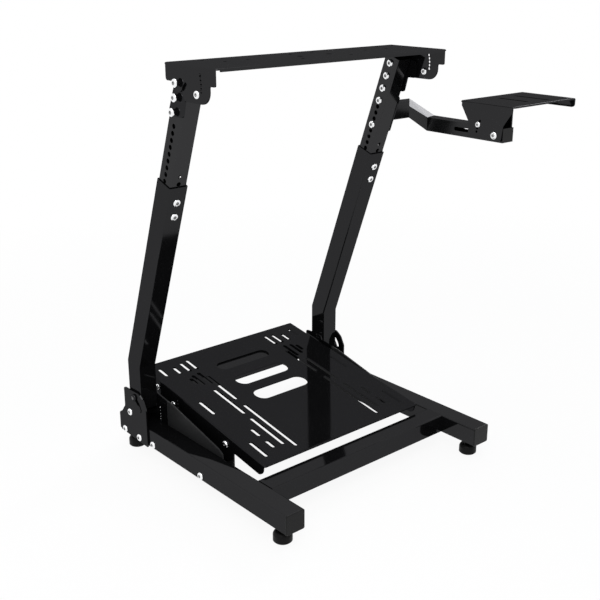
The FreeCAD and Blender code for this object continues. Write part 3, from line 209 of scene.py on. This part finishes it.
# %% [markdown]
# ## A shared effect: uneven surface
# Paint, plated steel, plastic and rubber all vary a little from place to place. One node group holds that:
# two noises, one broad and one fine, mixed into a colour, a roughness and a height. Each material places
# the group with its own values, so a change to the group reaches all of them.

# %% Surface group
SURFACE_INPUTS = (("Dark", "NodeSocketColor"), ("Light", "NodeSocketColor"),
                  ("Smooth", "NodeSocketFloat"), ("Rough", "NodeSocketFloat"),
                  ("Broad Scale", "NodeSocketFloat"), ("Fine Scale", "NodeSocketFloat"))
SURFACE_OUTPUTS = (("Color", "NodeSocketColor"), ("Roughness", "NodeSocketFloat"),
                   ("Height", "NodeSocketFloat"))
BROAD_DETAIL = 3.0
FINE_DETAIL = 2.0
surface_group = bpy.data.node_groups.new("uneven_surface", "ShaderNodeTree")
for name, kind in SURFACE_INPUTS:
    surface_group.interface.new_socket(name=name, in_out="INPUT", socket_type=kind)
for name, kind in SURFACE_OUTPUTS:
    surface_group.interface.new_socket(name=name, in_out="OUTPUT", socket_type=kind)
nodes = surface_group.nodes
links = surface_group.links
group_in = nodes.new("NodeGroupInput")
group_out = nodes.new("NodeGroupOutput")
place = nodes.new("ShaderNodeTexCoord")
broad = nodes.new("ShaderNodeTexNoise")
broad.inputs["Detail"].default_value = BROAD_DETAIL
fine = nodes.new("ShaderNodeTexNoise")
fine.inputs["Detail"].default_value = FINE_DETAIL
for noise, scale in ((broad, "Broad Scale"), (fine, "Fine Scale")):
    links.new(place.outputs["Object"], noise.inputs["Vector"])
    links.new(group_in.outputs[scale], noise.inputs["Scale"])
tone = nodes.new("ShaderNodeMix")
tone.data_type = "RGBA"
polish = nodes.new("ShaderNodeMix")
polish.data_type = "FLOAT"
for blend, first, second in ((tone, "Dark", "Light"), (polish, "Smooth", "Rough")):
    links.new(broad.outputs["Fac"], blend.inputs["Factor"])
    links.new(group_in.outputs[first], blend.inputs["A"])
    links.new(group_in.outputs[second], blend.inputs["B"])
links.new(tone.outputs["Result"], group_out.inputs["Color"])
links.new(polish.outputs["Result"], group_out.inputs["Roughness"])
links.new(fine.outputs["Fac"], group_out.inputs["Height"])
print("surface group with", len(nodes), "nodes")

# %% [markdown]
# ## Plain finishes
# The fasteners are plated steel, the feet rubber and the end covers plastic. One Principled shader can be
# all three: a metal has Metallic at 1, and rubber and plastic differ in how rough they are. So one function
# makes them, and takes colours, roughness and grain as pairs of values.

# %% Plain finishes
BUMP_HEIGHT = 0.0002


def finish(name, colours, roughness, grain, ripple, metallic=0.0, specular=0.5):
    """A material that wanders between two colours and two roughnesses, with a broad and a fine grain."""
    material = bpy.data.materials.new(name)
    material.use_nodes = True
    tree = material.node_tree
    shader = tree.nodes["Principled BSDF"]
    shader.inputs["Metallic"].default_value = metallic
    shader.inputs["Specular IOR Level"].default_value = specular
    uneven = tree.nodes.new("ShaderNodeGroup")
    uneven.node_tree = surface_group
    dark, light = colours
    uneven.inputs["Dark"].default_value = (*dark, 1.0)
    uneven.inputs["Light"].default_value = (*light, 1.0)
    uneven.inputs["Smooth"].default_value, uneven.inputs["Rough"].default_value = roughness
    uneven.inputs["Broad Scale"].default_value, uneven.inputs["Fine Scale"].default_value = grain
    bump = tree.nodes.new("ShaderNodeBump")
    bump.inputs["Strength"].default_value = ripple
    bump.inputs["Distance"].default_value = BUMP_HEIGHT
    tree.links.new(uneven.outputs["Height"], bump.inputs["Height"])
    tree.links.new(uneven.outputs["Color"], shader.inputs["Base Color"])
    tree.links.new(uneven.outputs["Roughness"], shader.inputs["Roughness"])
    tree.links.new(bump.outputs["Normal"], shader.inputs["Normal"])
    print("finish", name)
    return material


STEEL_GRAIN = (60.0, 2600.0)
plated_steel = finish("plated_steel", colours=((0.88, 0.89, 0.90), (0.97, 0.975, 0.98)),
                      roughness=(0.10, 0.18), grain=STEEL_GRAIN, ripple=0.06, metallic=1.0)
# Painted shade: a darker steel for the cups in the bolt sockets. It stands in for the shade in their hollows.
socket_painted_shade = finish("socket_painted_shade", colours=((0.24, 0.24, 0.24), (0.34, 0.34, 0.34)),
                      roughness=(0.25, 0.35), grain=STEEL_GRAIN, ripple=0.06, metallic=1.0)
foot_rubber = finish("foot_rubber", colours=((0.0035, 0.0035, 0.0035), (0.0065, 0.0065, 0.0065)),
                     roughness=(0.38, 0.52), grain=(45.0, 2400.0), ripple=0.25, specular=0.10)
cap_plastic = finish("cap_plastic", colours=((0.0045, 0.0045, 0.0048), (0.0075, 0.0075, 0.0078)),
                     roughness=(0.22, 0.30), grain=(30.0, 1900.0), ripple=0.05, specular=0.15)

# %% [markdown]
# ## The black paint
# The paint is nearly black and shines evenly: a plate seen along its face is no brighter than one seen
# straight on. A plain dielectric grows bright at a low angle. So the paint is a dark matte body mixed half
# and half with a dim mirror, which takes the same roughness and the same bump. The rails, plates and tubes
# differ a little in shine.

# %% Paints
PAINT_COLOURS = ((0.0060, 0.0060, 0.0064), (0.0092, 0.0092, 0.0098))
PAINT_GRAIN = (9.0, 700.0)
MIRROR_SHARE = 0.5
MIRROR_BLUE = 0.002


def paint(name, shine, roughness, ripple):
    """Black paint: a matte body mixed with a dim mirror, whose brightness is shine."""
    material = finish(name, PAINT_COLOURS, roughness, PAINT_GRAIN, ripple, specular=0.0)
    tree = material.node_tree
    body = tree.nodes["Principled BSDF"]
    mirror = tree.nodes.new("ShaderNodeBsdfAnisotropic")
    mirror.inputs["Color"].default_value = (shine, shine, shine + MIRROR_BLUE, 1.0)
    for name_of_input in ("Roughness", "Normal"):
        tree.links.new(body.inputs[name_of_input].links[0].from_socket, mirror.inputs[name_of_input])
    layers = tree.nodes.new("ShaderNodeMixShader")
    layers.inputs["Fac"].default_value = MIRROR_SHARE
    tree.links.new(body.outputs["BSDF"], layers.inputs[1])
    tree.links.new(mirror.outputs["BSDF"], layers.inputs[2])
    tree.links.new(layers.outputs[0], tree.nodes["Material Output"].inputs["Surface"])
    return material


rail_paint = paint("rail_gloss_black", shine=0.052, roughness=(0.03, 0.07), ripple=0.015)
plate_paint = paint("plate_gloss_black", shine=0.044, roughness=(0.04, 0.08), ripple=0.015)
deck_paint = paint("deck_gloss_black", shine=0.028, roughness=(0.04, 0.08), ripple=0.015)
tube_paint = paint("upright_gloss_black", shine=0.046, roughness=(0.05, 0.10), ripple=0.02)
slide_paint = paint("slide_gloss_black", shine=0.070, roughness=(0.06, 0.12), ripple=0.02)
satin_paint = paint("satin_black", shine=0.060, roughness=(0.16, 0.22), ripple=0.02)
# Painted reflection: the pedal brackets have the same black paint as the rest, but a lighter, rougher matte
# body. They show an even grey that stands in for the white room mirrored in the paint.
bracket_painted_reflection = finish("bracket_black_painted_reflection", colours=((0.019, 0.019, 0.0195), (0.023, 0.023, 0.0235)),
                       roughness=(0.34, 0.44), grain=PAINT_GRAIN, ripple=0.03, specular=0.08)

# %% [markdown]
# ## Which solid gets which finish
# The record names a material slot for each solid, and a slot has one finish. A few solids shine differently
# from the rest of their slot, so they are listed by name. The material goes into the slots that the mesh
# has, because the solids themselves stay as they are.

# %% Finishes on the solids
FINISH_OF_SLOT = {"black_paint": plate_paint, "bright_bolt": plated_steel,
                  "rubber_foot": foot_rubber, "plastic_cap": cap_plastic}
FINISH_OF_NODE = {"wheel_plate": rail_paint, "shifter_platform": rail_paint, "pedal_plate": deck_paint,
                  "shifter_arm": satin_paint, "bracket_spacers": cap_plastic}
for side in ("left", "right"):
    FINISH_OF_NODE[side + "_rail"] = rail_paint
    FINISH_OF_NODE[side + "_outer_hinge_plate"] = rail_paint
    FINISH_OF_NODE[side + "_lower_upright"] = tube_paint
    FINISH_OF_NODE[side + "_upper_upright"] = slide_paint
    FINISH_OF_NODE[side + "_pedal_bracket"] = bracket_painted_reflection
slot_of_node = {part["node"]: part["material_slot"] for part in frame["record"]["subparts"]}
for node, solid in frame["nodes"].items():
    material = FINISH_OF_NODE.get(node, FINISH_OF_SLOT[slot_of_node[node]])
    if not solid.material_slots:
        solid.data.materials.append(material)
    for slot in solid.material_slots:
        slot.material = material
print("finished", len(frame["nodes"]), "solids")

# %% [markdown]
# ## Finding the bolt heads
# Each bolt head has a six-sided socket, which looks darker than the plated steel round it. The heads could be
# listed by hand, but heads that are found in the solids stay right when a bolt moves. Each bolt is one loose
# part of its node, and its head is the end where the part is widest. A nut is as wide at one end as at the
# other, and so it has no head.

# %% Loose parts
ACROSS = Vector((1, 0, 0))
UPRIGHT_LEAN = math.radians(20)
OUT_OF_TUBE = Vector((0, -math.cos(UPRIGHT_LEAN), -math.sin(UPRIGHT_LEAN)))
MERGE_DISTANCE = 1e-5


def loose_parts(solid):
    """Lists the points of each loose part of a solid."""
    shape = bmesh.new()
    shape.from_mesh(solid.data)
    bmesh.ops.remove_doubles(shape, verts=shape.verts, dist=MERGE_DISTANCE)
    waiting = set(shape.verts)
    parts = []
    for start in shape.verts:
        if start not in waiting:
            continue
        waiting.remove(start)
        front = [start]
        points = []
        while front:
            vertex = front.pop()
            points.append(vertex.co.copy())
            for edge in vertex.link_edges:
                other = edge.other_vert(vertex)
                if other in waiting:
                    waiting.remove(other)
                    front.append(other)
        parts.append(points)
    shape.free()
    return parts


print("the wing bolts have", len(loose_parts(frame["nodes"]["wing_bolts"])), "loose parts")

# %% Heads
WIDEST_SHARE = 0.98
MIDDLE_SHARE = 0.5
NUT_MARGIN = 0.03


def find_head(points, axis, faces_out):
    """The middle of a bolt head's flat top, the way it faces and the head's radius. A nut has none.

    Where faces_out is set, the part is a bolt whose head faces along the axis.
    """
    side_a = axis.orthogonal().normalized()
    side_b = axis.cross(side_a)
    middle = Vector((0, 0, 0))
    for side in (side_a, side_b):
        reaches = [point.dot(side) for point in points]
        middle += side * (min(reaches) + max(reaches)) / 2
    radii = [(point - middle - axis * (point - middle).dot(axis)).length for point in points]
    places = [point.dot(axis) for point in points]
    low, high = min(places), max(places)
    widest = max(radii)
    if faces_out:
        return middle + axis * high, axis, widest
    rim = [place for place, radius in zip(places, radii) if radius > WIDEST_SHARE * widest]
    share = (sum(rim) / len(rim) - low) / (high - low)
    if abs(share - MIDDLE_SHARE) < NUT_MARGIN:
        return None
    if share > MIDDLE_SHARE:
        return middle + axis * high, axis, widest
    return middle + axis * low, -axis, widest


# %% [markdown]
# ## The sockets of the bolts
# A cup of darker steel lines each socket: painted shade for the hollow of the socket. It could be a dark
# spot in the material, but a cup also catches light along its edge. It starts as a six-sided circle in the
# plane of the head's top. Inset leaves a narrow rim round it, and the face inside is extruded and pushed
# down along the axis of the bolt.

# %% Sockets
SOCKET_SHARE = 0.48
SOCKET_SIDES = 6
RIM_SHARE = 0.22
SHADE_CUP_DEPTH = 0.0012
SHADE_CUP_PROUD = 0.00006


def add_socket_shade_cup(shape, place, facing, radius):
    """Adds a six-sided cup of painted shade for a head of the given radius."""
    turn = Vector((0, 0, 1)).rotation_difference(facing).to_matrix().to_4x4()
    seat = Matrix.Translation(place + facing * SHADE_CUP_PROUD) @ turn
    outer = radius * SOCKET_SHARE
    made = bmesh.ops.create_circle(shape, cap_ends=True, segments=SOCKET_SIDES, radius=outer, matrix=seat)
    face = made["verts"][0].link_faces[0]
    bmesh.ops.inset_individual(shape, faces=[face], thickness=outer * RIM_SHARE)
    sunk = bmesh.ops.extrude_discrete_faces(shape, faces=[face])["faces"]
    for corner in sunk[0].verts:
        corner.co -= facing * SHADE_CUP_DEPTH


def socket_shade_cups(node, axis, faces_out=False):
    """One mesh with a cup of painted shade for each bolt head of the node."""
    heads = [find_head(points, axis, faces_out) for points in loose_parts(frame["nodes"][node])]
    heads = [head for head in heads if head is not None]
    shape = bmesh.new()
    for place, facing, radius in heads:
        add_socket_shade_cup(shape, place, facing, radius)
    bmesh.ops.recalc_face_normals(shape, faces=shape.faces)
    mesh = bpy.data.meshes.new(node + "_socket_shade")
    shape.to_mesh(mesh)
    shape.free()
    piece = bpy.data.objects.new(node + "_socket_shade", mesh)
    bpy.context.collection.objects.link(piece)
    mesh.materials.append(socket_painted_shade)
    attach(piece, body_of_node[node])
    return len(heads)


body_of_node = {}
for body, members in frame["record"]["behaviour"]["bodies"].items():
    body_of_node.update({node: body for node in members})
socket_count = 0
# Each cup is painted shade laid into a socket of the solids.
for node in sorted(frame["nodes"]):
    if node == "clamp_bolts":
        socket_count += socket_shade_cups(node, OUT_OF_TUBE, faces_out=True)
    elif "bolt" in node:
        socket_count += socket_shade_cups(node, ACROSS)
print("lined", socket_count, "sockets")

# %% [markdown]
# ## The rims of the angle holes
# Each inner hinge plate has a column of small holes, and their edges are bare metal. A rim is a short
# profile spun round the axis of its hole. It lines the hole's edge and stands a fifth of a millimetre proud
# of the plate.

# %% Rims of the angle holes
HOLE_COUNT = 6
HOLE_PITCH = 0.007
TOP_HOLE_Y = 0.4185
TOP_HOLE_Z = 0.094
PLATE_FACE = 0.210
RIM_PROFILE = ((0.0025, -0.0010), (0.0025, 0.0001), (0.0029, 0.0002), (0.0034, 0.0))
RIM_STEPS = 32


def spin_rim(shape, middle, outward):
    """Spins the profile, given as radius and height pairs, round an axis along X."""
    corners = []
    for radius, height in RIM_PROFILE:
        corners.append(shape.verts.new(middle + Vector((outward * height, radius, 0))))
    edges = [shape.edges.new(pair) for pair in zip(corners, corners[1:])]
    bmesh.ops.spin(shape, geom=corners + edges, cent=middle, axis=ACROSS, dvec=(0, 0, 0),
                   angle=math.tau, steps=RIM_STEPS, use_merge=True)


for side_name, side in (("left", -1), ("right", 1)):
    shape = bmesh.new()
    for step in range(HOLE_COUNT):
        spin_rim(shape, Vector((side * PLATE_FACE, TOP_HOLE_Y, TOP_HOLE_Z - step * HOLE_PITCH)), side)
    bmesh.ops.recalc_face_normals(shape, faces=shape.faces)
    name = side_name + "_angle_hole_rims"
    mesh = bpy.data.meshes.new(name)
    shape.to_mesh(mesh)
    print(name, len(shape.faces), "faces")
    shape.free()
    rims = bpy.data.objects.new(name, mesh)
    bpy.context.collection.objects.link(rims)
    mesh.materials.append(plated_steel)
    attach(rims, "base_frame")
